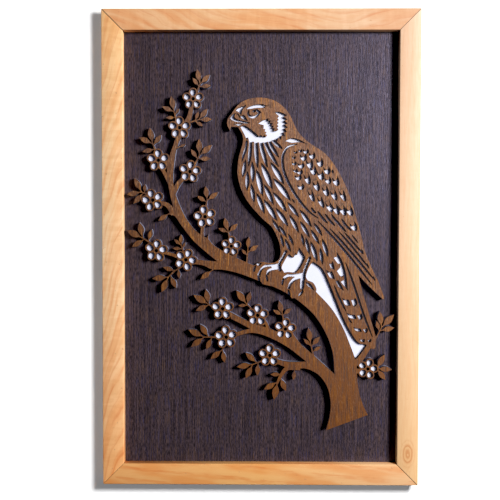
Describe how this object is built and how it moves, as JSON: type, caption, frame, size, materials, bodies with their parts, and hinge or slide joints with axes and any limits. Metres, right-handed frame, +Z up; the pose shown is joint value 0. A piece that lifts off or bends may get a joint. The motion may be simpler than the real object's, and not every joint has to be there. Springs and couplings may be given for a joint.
{
  "type": "layered wood wall art",
  "caption": "Framed wall picture in layers of cut wood: a falcon on a blossoming bough, brown over white, on a dark panel in a pale mitred frame.",
  "frame": {"origin": "middle of the top rail's back face, where the picture rests on the wall", "axes": "+X to the viewer's right, +Y into the wall, +Z up; the picture faces -Y"},
  "size_m": [0.3, 0.018, 0.45],
  "materials": {
    "pale_frame_wood": "clear satin varnish on pale orange-blond wood",
    "dark_panel_veneer": "dark purple-brown stained veneer, matt, fine upright grain",
    "white_underlay": "smooth white paint, satin",
    "brown_fretwork_veneer": "golden-brown veneer, satin, edges burnt dark by the cutting"
  },
  "bodies": {
    "root": {"frame_top_rail": "pale_frame_wood", "frame_bottom_rail": "pale_frame_wood", "frame_left_rail": "pale_frame_wood", "frame_right_rail": "pale_frame_wood", "back_panel": "dark_panel_veneer", "white_underlay": "white_underlay", "falcon_fretwork": "brown_fretwork_veneer"}
  },
  "joints": []
}
